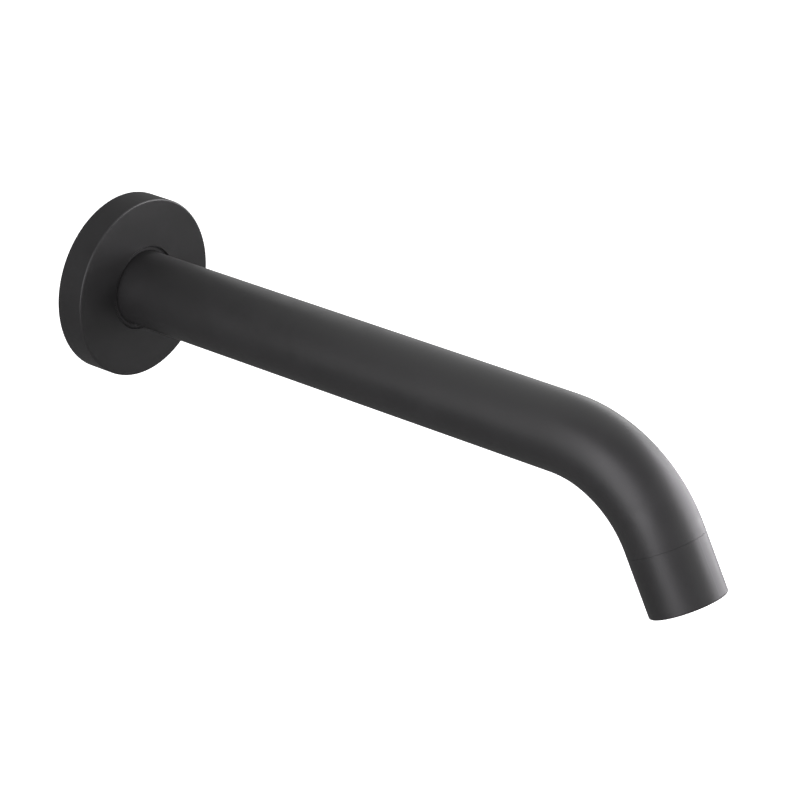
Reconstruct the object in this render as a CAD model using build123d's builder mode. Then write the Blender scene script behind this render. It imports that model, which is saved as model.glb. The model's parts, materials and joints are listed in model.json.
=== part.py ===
"""Wall spout: a bent round tube with a sliding cover plate, a slip-on wall nipple and a recessed aerator.

The wall is the plane Y = 0. The spout leaves it level along -Y, then bends down to its outlet.
The origin is where the tube's axis meets the wall. All lengths are in millimetres.
"""

import os
from math import cos, hypot, radians, sin, sqrt

from build123d import *

os.makedirs("parts", exist_ok=True)

# Spout tube
tube_diameter = 25.0
tube_wall = 1.5
reach = 230.0  # level distance from the wall to the middle of the outlet
bend_radius = 42.0  # on the tube's centre line
bend_angle = 63.0  # degrees, turned down from level
tube_tail = 2.0  # straight, between the bend and the collar
tube_setback = 1.0  # the tube's back end stands this far off the wall
socket_wall = 1.2  # wall left where the tube's end is bored straight for the collar
socket_depth = 5.5

# Outlet collar
collar_length = 19.5
collar_joint_chamfer = 0.1  # makes the fine joint line round the tube
collar_spigot_length = 5.0
collar_spigot_wall = 1.75
collar_edge_radius = 0.5
collar_lip_chamfer = 0.3
aerator_thread_diameter = 21.5
aerator_seat_depth = 4.0  # from the joint line to the step that the seal lies on

# Cover plate
plate_diameter = 60.0
plate_depth = 10.0
plate_face = 2.5
plate_rim = 2.0
plate_edge_radius = 0.6
plate_bore_chamfer = 0.25
plate_lip = 0.6  # in front of the ring's groove
plate_hub_length = 5.5
plate_hub_wall = 2.2  # outside the ring's groove
plate_ring_section = 2.0

# Wall nipple and the bush that slips over it
thread_diameter = 20.955  # half-inch pipe thread, over the crests
thread_length = 13.0
thread_chamfer = 1.2
spigot_diameter = 15.7
spigot_length = 20.0
spigot_chamfer = 0.6
nipple_bore = 9.0
key_across_flats = 10.0
key_depth = 5.0
nipple_ring_section = 1.6
nipple_ring_places = {"nipple_o_ring_rear": 9.5, "nipple_o_ring_front": 13.5}
bush_stop_gap = 1.0  # between the nipple's front end and the bush's shoulder
bush_stop_length = 3.0
bush_stop_bore = 12.0
bush_lead_in = 0.8

# Grub screw, under the tube and behind the plate's ring
grub_diameter = 4.0
grub_place = 4.2  # distance from the wall
grub_groove_depth = 0.85
grub_tip_chamfer = 0.8
grub_sunk = 0.3  # below the tube's surface
grub_key_across_flats = 2.0
grub_key_depth = 2.0

# Aerator, stacked inside the collar along the flow
seal_thickness = 1.5
seal_overlap = 0.8  # how far the seal reaches inside the collar's step
housing_recess = 0.8  # the housing's outlet lies this far inside the collar
housing_ledge = 0.8  # the step that the jet plate sits on
housing_wall = 1.6
housing_chamfer = 0.4
grid_depth = 2.5
grid_pitch = 2.1
grid_web = 0.45
key_notch_count = 12
key_notch_width = 1.5
key_notch_depth = 1.2
strainer_rim = 0.9
strainer_wall = 0.6
strainer_dome_height = 3.4
strainer_slot_width = 0.6
strainer_slot_length = 4.0
strainer_slot_place = 4.6  # from the axis to the middle of a slot
strainer_slot_count = 18
regulator_thickness = 2.4
regulator_floor = 0.8
regulator_core = 6.6
regulator_channel = 2.6  # width of the round channel that holds the ring
regulator_ring_section = 1.4
regulator_port = 1.5
regulator_port_count = 8
jet_plate_thickness = 2.0
jet_hole = 1.1
jet_count = 18
jet_ring_share = 0.78  # of the jet plate's radius

# Clearances
plate_clearance = 1.4  # between the plate's bore and the tube, and seen as a dark gap
seal_clearance = 0.1  # between a sealing ring and what it seals
solder_gap = 0.05  # between pieces that are soldered together
slip_clearance = 0.15  # between the nipple and the bush, and inside the aerator
thread_clearance = 0.15  # between plain cylinders that stand for mating threads
tip_clearance = 0.1  # between the grub screw's tip and its groove

# Places and sizes that follow from those above
tube_radius = tube_diameter / 2
tube_bore = tube_radius - tube_wall
turn = radians(bend_angle)
straight_length = reach - bend_radius * sin(turn) - (tube_tail + collar_length) * cos(turn)
bend_reach = straight_length + bend_radius * sin(turn)
bend_drop = bend_radius * (1 - cos(turn))
tube_end = (0, -bend_reach - tube_tail * cos(turn), -bend_drop - tube_tail * sin(turn))
flow = (0, -cos(turn), -sin(turn))

# The two side planes have X along the flow and Y across it, so a turned piece's section is drawn
# as distance along its axis and radius.
wall_side = Plane(origin=(0, 0, 0), x_dir=(0, -1, 0), z_dir=(-1, 0, 0))
outlet_side = Plane(origin=tube_end, x_dir=flow, z_dir=(-1, 0, 0))
outlet_plane = Plane(origin=tube_end, x_dir=(1, 0, 0), z_dir=flow)
outlet_axis = Axis(tube_end, flow)
grub_plane = Plane(origin=(0, -grub_place, 0), x_dir=(1, 0, 0), z_dir=(0, 0, -1))

socket_radius = tube_radius - socket_wall
plate_radius = plate_diameter / 2
plate_bore = tube_radius + plate_clearance
plate_groove_width = plate_ring_section * 1.2
plate_groove_floor = tube_radius + plate_ring_section + 2 * seal_clearance
plate_ring_place = plate_depth - plate_lip - plate_groove_width / 2
plate_hub_radius = plate_groove_floor + plate_hub_wall

spigot_radius = spigot_diameter / 2
bush_bore = spigot_radius + slip_clearance
bush_front = spigot_length + bush_stop_gap + bush_stop_length
nipple_groove_width = nipple_ring_section * 1.4
nipple_groove_floor = bush_bore - nipple_ring_section - 2 * seal_clearance
grub_groove_floor = spigot_radius - grub_groove_depth
grub_groove_width = grub_diameter + 2 * slip_clearance
grub_hole = grub_diameter / 2 + thread_clearance
grub_tip = grub_groove_floor + tip_clearance
grub_length = tube_radius - grub_sunk - grub_tip

aerator_bore = aerator_thread_diameter / 2
collar_spigot_radius = socket_radius - solder_gap
collar_bore = collar_spigot_radius - collar_spigot_wall
housing_radius = aerator_bore - thread_clearance
housing_bore = housing_radius - housing_wall
housing_top = aerator_seat_depth + seal_thickness
housing_end = collar_length - housing_recess
grid_top = housing_end - grid_depth
grid_radius = housing_bore - housing_ledge
insert_radius = housing_bore - slip_clearance
seal_bore = collar_bore - seal_overlap
strainer_end = housing_top + strainer_rim
regulator_end = strainer_end + regulator_thickness
jet_plate_end = regulator_end + jet_plate_thickness
dome_radius = seal_bore - slip_clearance
channel_middle = regulator_core / 2 + regulator_channel / 2

# Spout tube: one length of round tube, bent at its far end and bored straight there for the collar
with BuildPart() as spout_tube:
    with BuildLine(wall_side) as tube_path:
        Line((tube_setback, 0), (straight_length, 0))
        JernArc((straight_length, 0), (1, 0), bend_radius, -bend_angle)
        Line((bend_reach, -bend_drop), (-tube_end[1], tube_end[2]))
    with BuildSketch(Plane.XZ.offset(tube_setback)):
        Circle(tube_radius)
        Circle(tube_bore, mode=Mode.SUBTRACT)
    sweep(path=tube_path.wires()[0])
    with BuildSketch(outlet_plane.offset(-socket_depth)):
        Circle(socket_radius)
    extrude(amount=socket_depth, mode=Mode.SUBTRACT)
    with BuildSketch(grub_plane):
        Circle(grub_hole)
    extrude(amount=tube_radius, mode=Mode.SUBTRACT)
spout_tube.part.label = "spout_tube"
export_step(spout_tube.part, "parts/spout_tube.step")

# Outlet collar: a turned sleeve as wide as the tube, with a spigot that is soldered into the tube
with BuildPart() as outlet_collar:
    with BuildSketch(outlet_side):
        with BuildLine():
            Polyline(
                (-collar_spigot_length, collar_bore),
                (-collar_spigot_length, collar_spigot_radius),
                (0, collar_spigot_radius),
                (0, tube_radius - collar_joint_chamfer),
                (collar_joint_chamfer, tube_radius),
                (collar_length, tube_radius),
                (collar_length, aerator_bore + collar_lip_chamfer),
                (collar_length - collar_lip_chamfer, aerator_bore),
                (aerator_seat_depth, aerator_bore),
                (aerator_seat_depth, collar_bore),
                close=True,
            )
        make_face()
    revolve(axis=outlet_axis)
    outlet_edges = outlet_collar.edges().filter_by(GeomType.CIRCLE).group_by(outlet_axis)[-1]
    fillet(outlet_edges.sort_by(SortBy.RADIUS)[-1], collar_edge_radius)
outlet_collar.part.label = "outlet_collar"
export_step(outlet_collar.part, "parts/outlet_collar.step")

# Cover plate: a round plate, hollow behind, whose hub slides along the tube
with BuildPart() as cover_plate:
    with BuildSketch(wall_side):
        with BuildLine():
            Polyline(
                (0, plate_radius),
                (plate_depth, plate_radius),
                (plate_depth, plate_bore),
                (plate_depth - plate_hub_length, plate_bore),
                (plate_depth - plate_hub_length, plate_hub_radius),
                (plate_depth - plate_face, plate_hub_radius),
                (plate_depth - plate_face, plate_radius - plate_rim),
                (0, plate_radius - plate_rim),
                close=True,
            )
        make_face()
    revolve(axis=Axis.Y)
    front_edges = cover_plate.edges().filter_by(GeomType.CIRCLE).group_by(Axis.Y)[0].sort_by(SortBy.RADIUS)
    fillet(front_edges[-1], plate_edge_radius)
    chamfer(front_edges[0], plate_bore_chamfer)
    with BuildSketch(wall_side):
        with Locations((plate_ring_place, plate_bore)):
            Rectangle(plate_groove_width, 2 * (plate_groove_floor - plate_bore))
    revolve(axis=Axis.Y, mode=Mode.SUBTRACT)
cover_plate.part.label = "cover_plate"
export_step(cover_plate.part, "parts/cover_plate.step")

# The rubber ring in the plate's hub, which grips the tube and holds the plate where it is slid to
with BuildPart() as cover_plate_o_ring:
    with BuildSketch(wall_side):
        with Locations((plate_ring_place, (tube_radius + plate_groove_floor) / 2)):
            Circle(plate_ring_section / 2)
    revolve(axis=Axis.Y)
cover_plate_o_ring.part.label = "cover_plate_o_ring"
export_step(cover_plate_o_ring.part, "parts/cover_plate_o_ring.step")

# Inlet bush: soldered into the tube's back end, with a smooth bore for the nipple
with BuildPart() as inlet_bush:
    with BuildSketch(wall_side):
        with BuildLine():
            Polyline(
                (tube_setback, bush_bore + bush_lead_in),
                (tube_setback, tube_bore - solder_gap),
                (bush_front, tube_bore - solder_gap),
                (bush_front, bush_stop_bore / 2),
                (bush_front - bush_stop_length, bush_stop_bore / 2),
                (bush_front - bush_stop_length, bush_bore),
                (tube_setback + bush_lead_in, bush_bore),
                close=True,
            )
        make_face()
    revolve(axis=Axis.Y)
    with BuildSketch(grub_plane):
        Circle(grub_hole)
    extrude(amount=tube_radius, mode=Mode.SUBTRACT)
inlet_bush.part.label = "inlet_bush"
export_step(inlet_bush.part, "parts/inlet_bush.step")

# Wall nipple: screwed into the wall's pipe by a hex key, so that the spout can be slipped over it
with BuildPart() as wall_nipple:
    with BuildSketch(wall_side):
        with BuildLine():
            Polyline(
                (-thread_length, nipple_bore / 2),
                (-thread_length, thread_diameter / 2 - thread_chamfer),
                (-thread_length + thread_chamfer, thread_diameter / 2),
                (0, thread_diameter / 2),
                (0, spigot_radius),
                (spigot_length - spigot_chamfer, spigot_radius),
                (spigot_length, spigot_radius - spigot_chamfer),
                (spigot_length, nipple_bore / 2),
                close=True,
            )
        make_face()
    revolve(axis=Axis.Y)
    with BuildSketch(wall_side):
        for ring_place in nipple_ring_places.values():
            with Locations((ring_place, spigot_radius)):
                Rectangle(nipple_groove_width, 2 * (spigot_radius - nipple_groove_floor))
        with Locations((grub_place, spigot_radius)):
            Rectangle(grub_groove_width, 2 * grub_groove_depth)
    revolve(axis=Axis.Y, mode=Mode.SUBTRACT)
    with BuildSketch(Plane.XZ.offset(spigot_length)):
        RegularPolygon(key_across_flats / 2, 6, major_radius=False)
    extrude(amount=-key_depth, mode=Mode.SUBTRACT)
wall_nipple.part.label = "wall_nipple"
export_step(wall_nipple.part, "parts/wall_nipple.step")

# The two rubber rings that seal the nipple in the bush
for ring_name, ring_place in nipple_ring_places.items():
    with BuildPart() as nipple_ring:
        with BuildSketch(wall_side):
            with Locations((ring_place, (nipple_groove_floor + bush_bore) / 2)):
                Circle(nipple_ring_section / 2)
        revolve(axis=Axis.Y)
    nipple_ring.part.label = ring_name
    export_step(nipple_ring.part, f"parts/{ring_name}.step")

# Grub screw: set from below through the tube and the bush, its tip in the nipple's groove
with BuildPart() as grub_screw:
    with BuildSketch(grub_plane.offset(grub_tip)):
        Circle(grub_diameter / 2)
    extrude(amount=grub_length)
    chamfer(grub_screw.edges().group_by(Axis.Z)[-1], grub_tip_chamfer)
    with BuildSketch(grub_plane.offset(grub_tip + grub_length)):
        RegularPolygon(grub_key_across_flats / 2, 6, major_radius=False)
    extrude(amount=-grub_key_depth, mode=Mode.SUBTRACT)
grub_screw.part.label = "grub_screw"
export_step(grub_screw.part, "parts/grub_screw.step")

# Aerator seal: a flat rubber ring between the collar's step and the aerator's housing
with BuildPart() as aerator_seal:
    with BuildSketch(outlet_plane.offset(aerator_seat_depth)):
        Circle(housing_radius)
        Circle(seal_bore, mode=Mode.SUBTRACT)
    extrude(amount=seal_thickness)
aerator_seal.part.label = "aerator_seal"
export_step(aerator_seal.part, "parts/aerator_seal.step")

# Aerator housing: a moulded cup with a honeycomb outlet and notches round its rim for a key
with BuildPart() as aerator_housing:
    with BuildSketch(outlet_side):
        with BuildLine():
            Polyline(
                (housing_top, housing_bore),
                (housing_top, housing_radius),
                (housing_end - housing_chamfer, housing_radius),
                (housing_end, housing_radius - housing_chamfer),
                (housing_end, 0),
                (grid_top, 0),
                (grid_top, grid_radius),
                (jet_plate_end, grid_radius),
                (jet_plate_end, housing_bore),
                close=True,
            )
        make_face()
    revolve(axis=outlet_axis)
    grid_rows = int(grid_radius / grid_pitch) + 1
    with BuildSketch(outlet_plane.offset(grid_top)):
        for row in range(-grid_rows, grid_rows + 1):
            for column in range(-grid_rows, grid_rows + 1):
                across = (column + 0.5 * (row % 2)) * grid_pitch
                up = row * grid_pitch * sqrt(3) / 2
                if hypot(across, up) + grid_pitch / 2 < grid_radius:
                    with Locations((across, up)):
                        RegularPolygon((grid_pitch - grid_web) / 2, 6, major_radius=False, rotation=30)
    extrude(amount=grid_depth, mode=Mode.SUBTRACT)
    with BuildSketch(outlet_plane.offset(housing_end)):
        with PolarLocations(housing_radius, key_notch_count):
            Rectangle(2 * (housing_radius - housing_bore), key_notch_width)
    extrude(amount=-key_notch_depth, mode=Mode.SUBTRACT)
aerator_housing.part.label = "aerator_housing"
export_step(aerator_housing.part, "parts/aerator_housing.step")

# Aerator strainer: a domed cage that stands up into the stream, slotted all round
with BuildPart() as aerator_strainer:
    with BuildSketch(outlet_side):
        with BuildLine():
            Polyline(
                (housing_top, dome_radius),
                (housing_top, insert_radius),
                (strainer_end, insert_radius),
                (strainer_end, dome_radius - strainer_wall),
                (housing_top, dome_radius - strainer_wall),
            )
            dome_inside = (housing_top - strainer_dome_height + strainer_wall, 0)
            dome_outside = (housing_top - strainer_dome_height, 0)
            TangentArc(dome_inside, (housing_top, dome_radius - strainer_wall), tangent=(0, 1))
            Line(dome_inside, dome_outside)
            TangentArc(dome_outside, (housing_top, dome_radius), tangent=(0, 1))
        make_face()
    revolve(axis=outlet_axis)
    with BuildSketch(outlet_plane.offset(strainer_end)):
        with PolarLocations(strainer_slot_place, strainer_slot_count):
            Rectangle(strainer_slot_length, strainer_slot_width)
    extrude(amount=-strainer_rim - strainer_dome_height, mode=Mode.SUBTRACT)
aerator_strainer.part.label = "aerator_strainer"
export_step(aerator_strainer.part, "parts/aerator_strainer.step")

# Flow regulator: a moulded disc with a round channel, whose floor has the ports
with BuildPart() as flow_regulator_body:
    with BuildSketch(outlet_plane.offset(strainer_end)):
        Circle(insert_radius)
    extrude(amount=regulator_thickness)
    with BuildSketch(outlet_plane.offset(strainer_end)):
        Circle(regulator_core / 2 + regulator_channel)
        Circle(regulator_core / 2, mode=Mode.SUBTRACT)
    extrude(amount=regulator_thickness - regulator_floor, mode=Mode.SUBTRACT)
    with BuildSketch(outlet_plane.offset(regulator_end)):
        with PolarLocations(channel_middle, regulator_port_count):
            Circle(regulator_port / 2)
    extrude(amount=-regulator_floor, mode=Mode.SUBTRACT)
flow_regulator_body.part.label = "flow_regulator_body"
export_step(flow_regulator_body.part, "parts/flow_regulator_body.step")

# The rubber ring in that channel, which the pressure pushes over the ports
with BuildPart() as flow_regulator_ring:
    with BuildSketch(outlet_side):
        with Locations((regulator_end - regulator_floor - regulator_ring_section / 2, channel_middle)):
            Circle(regulator_ring_section / 2)
    revolve(axis=outlet_axis)
flow_regulator_ring.part.label = "flow_regulator_ring"
export_step(flow_regulator_ring.part, "parts/flow_regulator_ring.step")

# Jet plate: splits the stream into jets that draw in air
with BuildPart() as aerator_jet_plate:
    with BuildSketch(outlet_plane.offset(regulator_end)):
        Circle(insert_radius)
        with PolarLocations(insert_radius * jet_ring_share, jet_count):
            Circle(jet_hole / 2, mode=Mode.SUBTRACT)
    extrude(amount=jet_plate_thickness)
aerator_jet_plate.part.label = "aerator_jet_plate"
export_step(aerator_jet_plate.part, "parts/aerator_jet_plate.step")
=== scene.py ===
# %% [markdown]
# # A matte black wall spout
# A bath or basin spout is a bent tube that leaves the wall level and turns down over the water. A round
# cover plate hides the hole in the wall, and a collar at the far end holds the aerator. The solids come
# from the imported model, in metres, with the wall at Y = 0 and the spout running along -Y. This script
# gives them their finishes, cuts the thread that the solids leave out, and sets up the camera, the floor
# and the light.

# %% Load the solids
import json
import math

import bmesh
import bpy
from mathutils import Matrix, Vector


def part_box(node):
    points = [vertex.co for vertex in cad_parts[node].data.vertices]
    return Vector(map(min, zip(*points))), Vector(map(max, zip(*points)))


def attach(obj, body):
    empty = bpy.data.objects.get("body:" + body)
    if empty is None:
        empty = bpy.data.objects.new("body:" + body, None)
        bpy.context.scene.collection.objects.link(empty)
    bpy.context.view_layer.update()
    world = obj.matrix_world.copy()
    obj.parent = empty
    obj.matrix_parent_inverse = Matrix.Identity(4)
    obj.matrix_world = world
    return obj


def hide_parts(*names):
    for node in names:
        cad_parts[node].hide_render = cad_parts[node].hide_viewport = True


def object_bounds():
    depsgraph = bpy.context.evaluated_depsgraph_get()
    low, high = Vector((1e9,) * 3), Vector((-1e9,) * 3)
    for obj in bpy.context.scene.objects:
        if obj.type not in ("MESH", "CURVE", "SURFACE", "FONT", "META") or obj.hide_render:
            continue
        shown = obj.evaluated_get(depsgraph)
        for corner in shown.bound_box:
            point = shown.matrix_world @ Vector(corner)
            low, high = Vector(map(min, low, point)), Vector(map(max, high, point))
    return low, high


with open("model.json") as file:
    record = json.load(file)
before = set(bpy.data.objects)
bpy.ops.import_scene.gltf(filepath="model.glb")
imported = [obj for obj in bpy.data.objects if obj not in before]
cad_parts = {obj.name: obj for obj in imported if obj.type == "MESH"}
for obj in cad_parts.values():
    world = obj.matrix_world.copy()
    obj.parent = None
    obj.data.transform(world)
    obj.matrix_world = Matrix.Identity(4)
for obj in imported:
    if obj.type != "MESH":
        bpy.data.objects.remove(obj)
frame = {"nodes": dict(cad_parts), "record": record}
nodes = frame["nodes"]
cad_low, cad_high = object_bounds()
MM = 0.001
print("nodes:", sorted(nodes))
print("box in mm:", [round(side / MM, 1) for side in cad_high - cad_low])

# %% [markdown]
# ## Camera
# The photograph looks down on the spout from its left, with a long lens, so the far plate is only a
# little smaller than it would be close by. Its horizon is level, so two angles and a place are enough to
# set the camera: the direction back to it is built from the angles, and Blender turns that into a
# rotation with no tilt.

# %% Camera
CAMERA_PLACE = Vector((-0.7375, -0.7299, 0.4398))
CAMERA_AZIMUTH = math.radians(-50.357)
CAMERA_ELEVATION = math.radians(25.071)
CAMERA_LENS_MM = 152.97
SENSOR_WIDTH_MM = 36.0

scene = bpy.context.scene
camera_data = bpy.data.cameras.new("photo_camera")
camera_data.sensor_width = SENSOR_WIDTH_MM
camera_data.lens = CAMERA_LENS_MM
camera = bpy.data.objects.new("photo_camera", camera_data)
scene.collection.objects.link(camera)
towards_camera = Vector((
    math.sin(CAMERA_AZIMUTH) * math.cos(CAMERA_ELEVATION),
    -math.cos(CAMERA_AZIMUTH) * math.cos(CAMERA_ELEVATION),
    math.sin(CAMERA_ELEVATION),
))
camera.location = CAMERA_PLACE
camera.rotation_mode = "QUATERNION"
camera.rotation_quaternion = (-towards_camera).to_track_quat("-Z", "Y")
scene.camera = camera
print("camera looks along", [round(part, 3) for part in -towards_camera])

# %% [markdown]
# ## Background
# The background is plain white with no horizon. A white world gives that to the rays that show it: from
# the camera, off gloss and through glass. Glossy rays see the same white as the camera, so the coating
# reflects the background that it stands in. All other rays meet a dimmer world, which fills the shadows
# softly. The Standard view transform leaves white as white.

# %% Background
WHITE = (1.0, 1.0, 1.0)
FILL_STRENGTH = 0.35

scene.view_settings.view_transform = "Standard"


def seen_directly(tree):
    """A mask that is 1 for rays that show the background: from the camera, off gloss or through glass."""
    light_path = tree.nodes.new("ShaderNodeLightPath")
    camera_or_gloss = tree.nodes.new("ShaderNodeMath")
    camera_or_gloss.operation = "MAXIMUM"
    any_of_them = tree.nodes.new("ShaderNodeMath")
    any_of_them.operation = "MAXIMUM"
    tree.links.new(light_path.outputs["Is Camera Ray"], camera_or_gloss.inputs[0])
    tree.links.new(light_path.outputs["Is Glossy Ray"], camera_or_gloss.inputs[1])
    tree.links.new(camera_or_gloss.outputs[0], any_of_them.inputs[0])
    tree.links.new(light_path.outputs["Is Transmission Ray"], any_of_them.inputs[1])
    return any_of_them.outputs[0]


world = bpy.data.worlds.new("white_studio")
scene.world = world
world.use_nodes = True
world_tree = world.node_tree
world_tree.nodes.clear()
shown_white = world_tree.nodes.new("ShaderNodeBackground")
shown_white.inputs["Color"].default_value = (*WHITE, 1.0)
shown_white.inputs["Strength"].default_value = 1.0
soft_fill = world_tree.nodes.new("ShaderNodeBackground")
soft_fill.inputs["Color"].default_value = (*WHITE, 1.0)
soft_fill.inputs["Strength"].default_value = FILL_STRENGTH
pick_world = world_tree.nodes.new("ShaderNodeMixShader")
world_out = world_tree.nodes.new("ShaderNodeOutputWorld")
world_tree.links.new(seen_directly(world_tree), pick_world.inputs[0])
world_tree.links.new(soft_fill.outputs[0], pick_world.inputs[1])
world_tree.links.new(shown_white.outputs[0], pick_world.inputs[2])
world_tree.links.new(pick_world.outputs[0], world_out.inputs["Surface"])
print("world:", world.name)

# %% [markdown]
# ## Floor
# A wall spout stands on nothing, so the floor is a pale matt square well below it. For the rays that show
# the background it also glows white, and so it meets the world without a line. It is clear from below, so
# that a camera under it can look up into the outlet. The two helpers here serve the cards of a later step
# as well.

# %% Floor
FLOOR_DROP = 0.34
FLOOR_HALF_SIDE = 6.0
FLOOR_GREY = (0.8, 0.8, 0.8)


def clear_from_behind(tree, front):
    """End a material with a shader that shows on the front of a face, while the back is clear."""
    back = tree.nodes.new("ShaderNodeBsdfTransparent")
    side = tree.nodes.new("ShaderNodeNewGeometry")
    pick = tree.nodes.new("ShaderNodeMixShader")
    out = tree.nodes.new("ShaderNodeOutputMaterial")
    tree.links.new(side.outputs["Backfacing"], pick.inputs[0])
    tree.links.new(front.outputs[0], pick.inputs[1])
    tree.links.new(back.outputs[0], pick.inputs[2])
    tree.links.new(pick.outputs[0], out.inputs["Surface"])


def square(name, middle, facing, half_side, paint):
    """A flat square about a middle point, with its front towards a direction."""
    shape = bmesh.new()
    bmesh.ops.create_grid(shape, x_segments=1, y_segments=1, size=half_side)
    turn = Vector(facing).to_track_quat("Z", "Y").to_matrix()
    bmesh.ops.rotate(shape, verts=shape.verts, cent=(0, 0, 0), matrix=turn)
    bmesh.ops.translate(shape, verts=shape.verts, vec=middle)
    mesh = bpy.data.meshes.new(name)
    shape.to_mesh(mesh)
    shape.free()
    mesh.materials.append(paint)
    flat_piece = bpy.data.objects.new(name, mesh)
    scene.collection.objects.link(flat_piece)
    return flat_piece


floor_paint = bpy.data.materials.new("pale_floor")
floor_paint.use_nodes = True
floor_tree = floor_paint.node_tree
floor_tree.nodes.clear()
floor_matt = floor_tree.nodes.new("ShaderNodeBsdfDiffuse")
floor_matt.inputs["Color"].default_value = (*FLOOR_GREY, 1.0)
floor_glow = floor_tree.nodes.new("ShaderNodeEmission")
floor_glow.inputs["Color"].default_value = (*WHITE, 1.0)
floor_sum = floor_tree.nodes.new("ShaderNodeAddShader")
floor_tree.links.new(seen_directly(floor_tree), floor_glow.inputs["Strength"])
floor_tree.links.new(floor_matt.outputs[0], floor_sum.inputs[0])
floor_tree.links.new(floor_glow.outputs[0], floor_sum.inputs[1])
clear_from_behind(floor_tree, floor_sum)
floor = square("floor", (0, 0, cad_low.z - FLOOR_DROP), (0, 0, 1), FLOOR_HALF_SIDE, floor_paint)
print("floor at z =", round(cad_low.z - FLOOR_DROP, 3))

# %% [markdown]
# ## Soft boxes
# A black satin surface is seen mostly by what it reflects, so it is lit as a photographer lights a black
# product: by a few broad soft boxes, each placed for one highlight. A wide box at the right draws the
# bright edge of the bend, a low one further back carries that edge down the collar, and a tall one at the
# left draws the pale band along the bend and the collar. A box's energy is worked out from its area, so
# that it stays as bright when its size is changed.

# %% Soft boxes
SPOUT_MIDDLE = Vector((0.0, -0.15, -0.01))
BOX_DISTANCE = 1.1
FAINT_VIOLET = (0.985, 0.955, 1.0)


def soft_box(name, direction, width, height, radiance):
    """An area lamp that looks at the spout from a direction, as bright as its radiance says."""
    lamp_data = bpy.data.lights.new(name, "AREA")
    lamp_data.shape = "RECTANGLE"
    lamp_data.size = width
    lamp_data.size_y = height
    lamp_data.energy = radiance * math.pi * width * height
    lamp_data.color = FAINT_VIOLET
    lamp = bpy.data.objects.new(name, lamp_data)
    scene.collection.objects.link(lamp)
    lamp.location = SPOUT_MIDDLE + Vector(direction).normalized() * BOX_DISTANCE
    lamp.rotation_mode = "QUATERNION"
    lamp.rotation_quaternion = (SPOUT_MIDDLE - lamp.location).to_track_quat("-Z", "Y")
    lamp.visible_camera = False


soft_box("right_box", (0.88, -0.50, 0.27), width=1.15, height=0.72, radiance=5.7)
soft_box("low_box", (0.985, -0.05, -0.22), width=0.7, height=0.34, radiance=4.6)
soft_box("left_box", (-0.96, -0.14, 0.25), width=0.75, height=1.4, radiance=2.9)

# %% [markdown]
# ## Cards
# Cards shape the rest of what the coating reflects. A dark floor card keeps the white floor out of it,
# and the front card is a paler patch above it that the plate's face mirrors. Behind the plate, the wall
# card and the smaller, paler rim card are what the plate's side and the tube's start mirror. The ceiling
# and camera cards are pale greys that dim the white room above and behind the camera. The back card is
# the one bright card: it draws the light rim over the top of the bend. Only glossy rays see a card, so it
# casts no shadow, and the camera looks through it.

# %% Cards
BEHIND_CAMERA = CAMERA_PLACE + towards_camera * 0.3


def card(name, middle, facing, half_side, glow, colour=WHITE):
    """A square card that only reflections see, with a clear back and a front that glows."""
    paint = bpy.data.materials.new(name)
    paint.use_nodes = True
    tree = paint.node_tree
    tree.nodes.clear()
    front = tree.nodes.new("ShaderNodeEmission")
    front.inputs["Color"].default_value = (*colour, 1.0)
    front.inputs["Strength"].default_value = glow
    clear_from_behind(tree, front)
    board = square(name, middle, facing, half_side, paint)
    board.visible_camera = False
    board.visible_diffuse = False
    board.visible_shadow = False
    board.visible_transmission = False
    return board


card("floor_card", (0.0, -0.15, -0.30), (0, 0, 1), half_side=2.5, glow=0.21)
card("front_card", (0.55, -0.55, -0.295), (0, 0, 1), half_side=0.45, glow=0.30)
card("back_card", (0.27, -0.10, 0.065), (-0.86, -0.5, -0.12), half_side=0.065, glow=2.9)
card("wall_card", (-0.057, 0.03, 0.02), (0, -1, 0), half_side=0.13, glow=0.18)
card("rim_card", (0.012, 0.004, 0.022), (0, -1, 0), half_side=0.04, glow=0.28)
card("ceiling_card", (-0.9, -0.9, 1.1), (0.3, 0.3, -1), half_side=1.3, glow=0.6, colour=FAINT_VIOLET)
card("camera_card", BEHIND_CAMERA, -towards_camera, half_side=0.9, glow=0.68, colour=FAINT_VIOLET)

# %% [markdown]
# ## Flag
# A flag is the opposite of a card: no ray sees it, but it does cast a shadow, which keeps the right box
# off the lower part of the plate. Its front is turned to the plate, because a card's back is clear to
# shadows too.

# %% Flag
flag = card("plate_flag", (0.09, -0.055, -0.042), (-0.84, 0.48, -0.26), half_side=0.08, glow=0.0)
flag.visible_glossy = False
flag.visible_shadow = True
print("flag:", flag.name)

# %% [markdown]
# ## Shared effects
# The finishes share three effects: a fine grain, soft smudges and the rings that a lathe leaves. Each is
# a node group, so that it is built once and every finish sets its own size for it. All of them read
# Object coordinates, which are metres here, so a noise scale of 1000 has features about a millimetre
# across. The first is the grain. A sprayed and baked coating, moulded plastic and rubber all have a skin
# of it. A noise with little detail is enough, because it is only read as the height of a bump.

# %% Fine grain


def effect_group(name, scale, output):
    """An empty node group with a Scale input and one float output, and its two end nodes."""
    group = bpy.data.node_groups.new(name, "ShaderNodeTree")
    socket = group.interface.new_socket("Scale", in_out="INPUT", socket_type="NodeSocketFloat")
    socket.default_value = scale
    group.interface.new_socket(output, in_out="OUTPUT", socket_type="NodeSocketFloat")
    return group, group.nodes.new("NodeGroupInput"), group.nodes.new("NodeGroupOutput")


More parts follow.
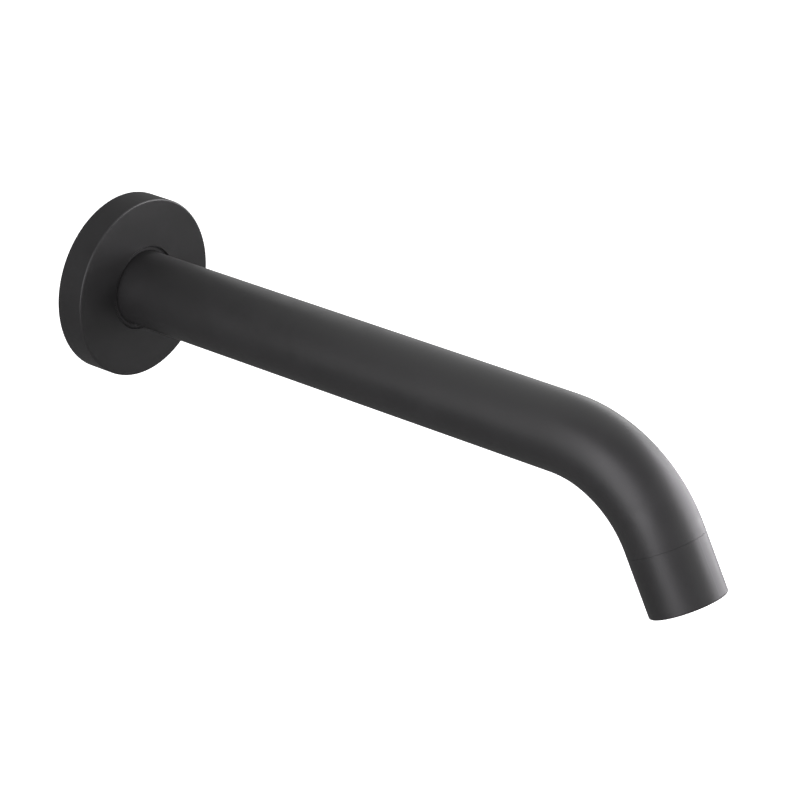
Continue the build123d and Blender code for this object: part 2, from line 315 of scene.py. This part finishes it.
fine_grain, grain_in, grain_out = effect_group("fine_grain", scale=3000.0, output="Height")
grain_place = fine_grain.nodes.new("ShaderNodeTexCoord")
grain_noise = fine_grain.nodes.new("ShaderNodeTexNoise")
grain_noise.inputs["Detail"].default_value = 2.0
fine_grain.links.new(grain_place.outputs["Object"], grain_noise.inputs["Vector"])
fine_grain.links.new(grain_in.outputs["Scale"], grain_noise.inputs["Scale"])
fine_grain.links.new(grain_noise.outputs["Fac"], grain_out.inputs["Height"])
print("effect:", fine_grain.name)

# %% [markdown]
# ## Soft smudges
# No finish is quite even: handling and drying leave broad, soft patches. A distorted noise gives their
# shape, and a smooth step spreads its middle values over the whole range of a mask.

# %% Soft smudges
SMUDGE_SCALE = 60.0

soft_smudges, smudge_in, smudge_out = effect_group("soft_smudges", scale=SMUDGE_SCALE, output="Mask")
smudge_place = soft_smudges.nodes.new("ShaderNodeTexCoord")
smudge_noise = soft_smudges.nodes.new("ShaderNodeTexNoise")
smudge_noise.inputs["Detail"].default_value = 4.0
smudge_noise.inputs["Distortion"].default_value = 0.6
smudge_range = soft_smudges.nodes.new("ShaderNodeMapRange")
smudge_range.interpolation_type = "SMOOTHSTEP"
smudge_range.inputs["From Min"].default_value = 0.35
smudge_range.inputs["From Max"].default_value = 0.65
soft_smudges.links.new(smudge_place.outputs["Object"], smudge_noise.inputs["Vector"])
soft_smudges.links.new(smudge_in.outputs["Scale"], smudge_noise.inputs["Scale"])
soft_smudges.links.new(smudge_noise.outputs["Fac"], smudge_range.inputs["Value"])
soft_smudges.links.new(smudge_range.outputs["Result"], smudge_out.inputs["Mask"])
print("effect:", soft_smudges.name)

# %% [markdown]
# ## Lathe rings
# Turned brass keeps the tool's fine rings. They change along the axis of the work alone, which is Y here,
# so a noise of one dimension along Y draws them without a seam.

# %% Lathe rings
lathe_rings, rings_in, rings_out = effect_group("lathe_rings", scale=4000.0, output="Height")
rings_place = lathe_rings.nodes.new("ShaderNodeTexCoord")
rings_split = lathe_rings.nodes.new("ShaderNodeSeparateXYZ")
rings_noise = lathe_rings.nodes.new("ShaderNodeTexNoise")
rings_noise.noise_dimensions = "1D"
rings_noise.inputs["Detail"].default_value = 3.0
lathe_rings.links.new(rings_place.outputs["Object"], rings_split.inputs["Vector"])
lathe_rings.links.new(rings_split.outputs["Y"], rings_noise.inputs["W"])
lathe_rings.links.new(rings_in.outputs["Scale"], rings_noise.inputs["Scale"])
lathe_rings.links.new(rings_noise.outputs["Fac"], rings_out.inputs["Height"])
print("effects:", [group.name for group in bpy.data.node_groups])

# %% [markdown]
# ## Finishes
# A finish here is one Principled shader whose colour and roughness drift a little between two values with
# the smudges, and whose normal gets the grain or the lathe's rings through a Bump node. One helper wires
# that up. Metallic is the same all over a finish, so it is set on the shader's own socket.

# %% Finish helper


def finish(name, dark, light, smooth, rough, relief, relief_scale, relief_mm, metallic=0.0):
    """A finish between two colours and two roughnesses, with a relief of a given height in millimetres."""
    material = bpy.data.materials.new(name)
    material.use_nodes = True
    tree = material.node_tree
    shader = tree.nodes["Principled BSDF"]
    shader.inputs["Metallic"].default_value = metallic
    smudges = tree.nodes.new("ShaderNodeGroup")
    smudges.node_tree = soft_smudges
    smudges.inputs["Scale"].default_value = SMUDGE_SCALE
    colour = tree.nodes.new("ShaderNodeMix")
    colour.data_type = "RGBA"
    colour.inputs["A"].default_value = (*dark, 1.0)
    colour.inputs["B"].default_value = (*light, 1.0)
    roughness = tree.nodes.new("ShaderNodeMapRange")
    roughness.inputs["To Min"].default_value = smooth
    roughness.inputs["To Max"].default_value = rough
    texture = tree.nodes.new("ShaderNodeGroup")
    texture.node_tree = relief
    texture.inputs["Scale"].default_value = relief_scale
    bump = tree.nodes.new("ShaderNodeBump")
    bump.inputs["Strength"].default_value = 1.0
    bump.inputs["Distance"].default_value = relief_mm * MM
    tree.links.new(smudges.outputs["Mask"], colour.inputs["Factor"])
    tree.links.new(smudges.outputs["Mask"], roughness.inputs["Value"])
    tree.links.new(texture.outputs["Height"], bump.inputs["Height"])
    tree.links.new(colour.outputs["Result"], shader.inputs["Base Color"])
    tree.links.new(roughness.outputs["Result"], shader.inputs["Roughness"])
    tree.links.new(bump.outputs["Normal"], shader.inputs["Normal"])
    print("finish:", name)
    return material


# %% [markdown]
# ## The spout's own finishes
# The coating is a satin black, smooth enough to draw the soft boxes as bands with soft edges. Inside are
# bare brass, black rubber, a stainless screw and the aerator's white and grey plastics. Each solid takes
# the finish that the record names for it.

# %% The spout's own finishes
finishes = {
    "matte_black_coating": finish(
        "matte_black_coating", (0.0175, 0.0174, 0.0176), (0.0190, 0.0188, 0.0191), smooth=0.40, rough=0.46,
        relief=fine_grain, relief_scale=2600.0, relief_mm=0.009,
    ),
    "bare_brass": finish(
        "bare_brass", (0.60, 0.40, 0.16), (0.70, 0.50, 0.23), smooth=0.24, rough=0.38,
        relief=lathe_rings, relief_scale=5000.0, relief_mm=0.006, metallic=1.0,
    ),
    "black_rubber": finish(
        "black_rubber", (0.024, 0.024, 0.024), (0.032, 0.032, 0.032), smooth=0.75, rough=0.90,
        relief=fine_grain, relief_scale=2000.0, relief_mm=0.010,
    ),
    "stainless_steel": finish(
        "stainless_steel", (0.46, 0.46, 0.45), (0.56, 0.56, 0.55), smooth=0.28, rough=0.40,
        relief=fine_grain, relief_scale=4000.0, relief_mm=0.004, metallic=1.0,
    ),
    "white_plastic": finish(
        "white_plastic", (0.70, 0.70, 0.68), (0.76, 0.76, 0.74), smooth=0.38, rough=0.48,
        relief=fine_grain, relief_scale=2400.0, relief_mm=0.006,
    ),
    "grey_plastic": finish(
        "grey_plastic", (0.20, 0.21, 0.22), (0.25, 0.26, 0.27), smooth=0.40, rough=0.52,
        relief=fine_grain, relief_scale=2400.0, relief_mm=0.006,
    ),
}
for part in frame["record"]["subparts"]:
    mesh = nodes[part["node"]].data
    mesh.materials.clear()
    mesh.materials.append(finishes[part["material_slot"]])

# %% [markdown]
# ## The wall nipple's section
# The solid nipple is a plain cylinder where its half-inch pipe thread is, so a threaded one takes its
# place. It is a turned piece, so its section is drawn once, as pairs of a distance from the wall and a
# radius, in millimetres. Along the thread, which lies in the wall, the section has a point about every
# tenth of a turn's advance, to be shaped in a later step.

# %% Nipple section
THREAD_LENGTH = 13.0
THREAD_CREST = 10.4775
THREAD_CHAMFER = 1.2
THREAD_POINTS = 71
SPIGOT_RADIUS = 7.85
SPIGOT_LENGTH = 20.0
SPIGOT_CHAMFER = 0.6
NIPPLE_BORE = 4.5
KEY_FLAT = 5.0
KEY_DEPTH = 5.0
# The middle, width and floor radius of the grub screw's groove and of the two rings' grooves
GROOVES = ((4.2, 4.3, 7.0), (9.5, 2.24, 6.2), (13.5, 2.24, 6.2))

section = [(-THREAD_LENGTH, NIPPLE_BORE), (-THREAD_LENGTH, THREAD_CREST - THREAD_CHAMFER)]
for number in range(1, THREAD_POINTS):
    section.append((-THREAD_LENGTH * (1 - number / THREAD_POINTS), THREAD_CREST))
section += [(0.0, THREAD_CREST), (0.0, SPIGOT_RADIUS)]
for middle, width, floor_radius in GROOVES:
    near = middle - width / 2
    far = middle + width / 2
    section += [(near, SPIGOT_RADIUS), (near, floor_radius), (far, floor_radius), (far, SPIGOT_RADIUS)]
section += [
    (SPIGOT_LENGTH - SPIGOT_CHAMFER, SPIGOT_RADIUS),
    (SPIGOT_LENGTH, SPIGOT_RADIUS - SPIGOT_CHAMFER),
    (SPIGOT_LENGTH, KEY_FLAT),
    (SPIGOT_LENGTH - KEY_DEPTH, KEY_FLAT),
    (SPIGOT_LENGTH - KEY_DEPTH, NIPPLE_BORE),
]
print("nipple section:", len(section), "points")

# %% [markdown]
# ## Spinning the section
# A full spin about the spout's axis makes the closed round body, and use_merge joins its last step to its
# first. The plate's ring is spun in the same way, so the spin is a helper.

# %% Spin the nipple
TURN_STEPS = 96


def spin_round(shape):
    """Spin the section that a bmesh holds once round the spout's axis."""
    bmesh.ops.spin(
        shape, geom=shape.verts[:] + shape.edges[:], axis=(0, 1, 0), cent=(0, 0, 0),
        angle=math.tau, steps=TURN_STEPS, use_merge=True,
    )


nipple_shape = bmesh.new()
section_points = [nipple_shape.verts.new((0.0, -along * MM, radius * MM)) for along, radius in section]
for index, point in enumerate(section_points):
    nipple_shape.edges.new((point, section_points[(index + 1) % len(section_points)]))
spin_round(nipple_shape)
print("spun nipple:", len(nipple_shape.faces), "faces")

# %% [markdown]
# ## Cutting the thread
# Each point along the thread is pulled in from the crest by how far it lies from the nearest turn of a
# helix. A helix swept by a cutter would need a boolean, while this keeps the mesh one clean grid. The
# thread runs out gently towards its shoulder and stays under the chamfer at its end. The same trick makes
# the six flats of the hex key's socket out of a round ring.

# %% Cut the thread
THREAD_PITCH = 1.814
THREAD_ROOT = 9.3155
THREAD_FADE = 2.2
SIXTH_TURN = math.tau / 6
SAME_RADIUS = 0.01


def thread_radius(depth, angle):
    """The radius of a right-hand thread at a depth into the wall and an angle about the axis."""
    turn = (depth / THREAD_PITCH - angle / math.tau) % 1.0
    from_crest = 1.0 - abs(2.0 * turn - 1.0)
    cut = from_crest * from_crest * (3.0 - 2.0 * from_crest)
    run_out = min(1.0, depth / THREAD_FADE)
    radius = THREAD_CREST - (THREAD_CREST - THREAD_ROOT) * cut * run_out
    return min(radius, THREAD_CREST - THREAD_CHAMFER + THREAD_LENGTH - depth)


def key_radius(angle):
    """The radius of the hex key's socket at an angle about the axis."""
    from_flat = (angle + SIXTH_TURN / 2) % SIXTH_TURN - SIXTH_TURN / 2
    return KEY_FLAT / math.cos(from_flat)


for point in nipple_shape.verts:
    depth = point.co.y / MM
    radius = math.hypot(point.co.x, point.co.z) / MM
    angle = math.atan2(point.co.x, point.co.z)
    shaped = radius
    if 0.0 < depth < THREAD_LENGTH and radius > THREAD_ROOT:
        shaped = thread_radius(depth, angle)
    elif depth < 0.0 and abs(radius - KEY_FLAT) < SAME_RADIUS:
        shaped = key_radius(angle)
    point.co.x *= shaped / radius
    point.co.z *= shaped / radius
print("thread turns:", round(THREAD_LENGTH / THREAD_PITCH, 1))

# %% [markdown]
# ## The threaded nipple
# A spin can leave faces turned inwards, so they are turned out again before the shape becomes a piece.
# Smooth shading suits a turned piece, with its edges over 40 degrees kept sharp. The piece stands for the
# plain nipple, and it stays with the spout when the plate slides.

# %% Threaded nipple
SHARP_ANGLE = math.radians(40)


def turned_piece(shape, name, slot):
    """A piece from a spun bmesh, with smooth faces that point outwards and the finish of a slot."""
    bmesh.ops.recalc_face_normals(shape, faces=shape.faces)
    for face in shape.faces:
        face.smooth = True
    mesh = bpy.data.meshes.new(name)
    shape.to_mesh(mesh)
    shape.free()
    mesh.materials.append(finishes[slot])
    piece = bpy.data.objects.new(name, mesh)
    scene.collection.objects.link(piece)
    return piece


threaded_nipple = turned_piece(nipple_shape, "threaded_nipple", "bare_brass")
threaded_nipple.data.set_sharp_from_angle(angle=SHARP_ANGLE)
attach(threaded_nipple, "spout")
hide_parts("wall_nipple")
print("threaded nipple:", len(threaded_nipple.data.polygons), "faces")

# %% [markdown]
# ## The plate's rubber ring
# The plate itself stays clear of the tube: a rubber ring in its hub grips the tube and holds the plate
# where it is slid to. The solid ring is round and has a little room on every side, but real rubber is
# squeezed until it fills that room, and no light comes past it. So the section here is a circle that is
# too big, pressed flat against the tube and the floor of its groove, and nearly against the groove's two
# walls. It is then spun about the axis as the nipple is.

# %% Squeezed ring
RING_ROOM = 0.1 * MM
RING_SIDE_ROOM = 0.15 * MM
RING_SWELL = 0.5 * MM
RING_SIDES = 48

ring_low, ring_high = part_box("cover_plate_o_ring")
ring_half = (ring_high.y - ring_low.y) / 2
ring_place = (ring_low.y + ring_high.y) / 2
ring_inside = ring_high.z - 2 * ring_half - RING_ROOM
ring_outside = ring_high.z + RING_ROOM
ring_back = ring_high.y + RING_SIDE_ROOM
ring_front = ring_low.y - RING_SIDE_ROOM
ring_shape = bmesh.new()
bmesh.ops.create_circle(ring_shape, cap_ends=False, segments=RING_SIDES, radius=ring_half + RING_SWELL)
section_turn = Matrix.Rotation(math.radians(90), 3, "Y")
section_middle = (0, ring_place, (ring_inside + ring_outside) / 2)
bmesh.ops.rotate(ring_shape, verts=ring_shape.verts, cent=(0, 0, 0), matrix=section_turn)
bmesh.ops.translate(ring_shape, verts=ring_shape.verts, vec=section_middle)
for point in ring_shape.verts:
    point.co.y = min(max(point.co.y, ring_front), ring_back)
    point.co.z = min(max(point.co.z, ring_inside), ring_outside)
spin_round(ring_shape)
squeezed_ring = turned_piece(ring_shape, "squeezed_ring", "black_rubber")
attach(squeezed_ring, "plate")
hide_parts("cover_plate_o_ring")
print("squeezed ring:", len(squeezed_ring.data.polygons), "faces")
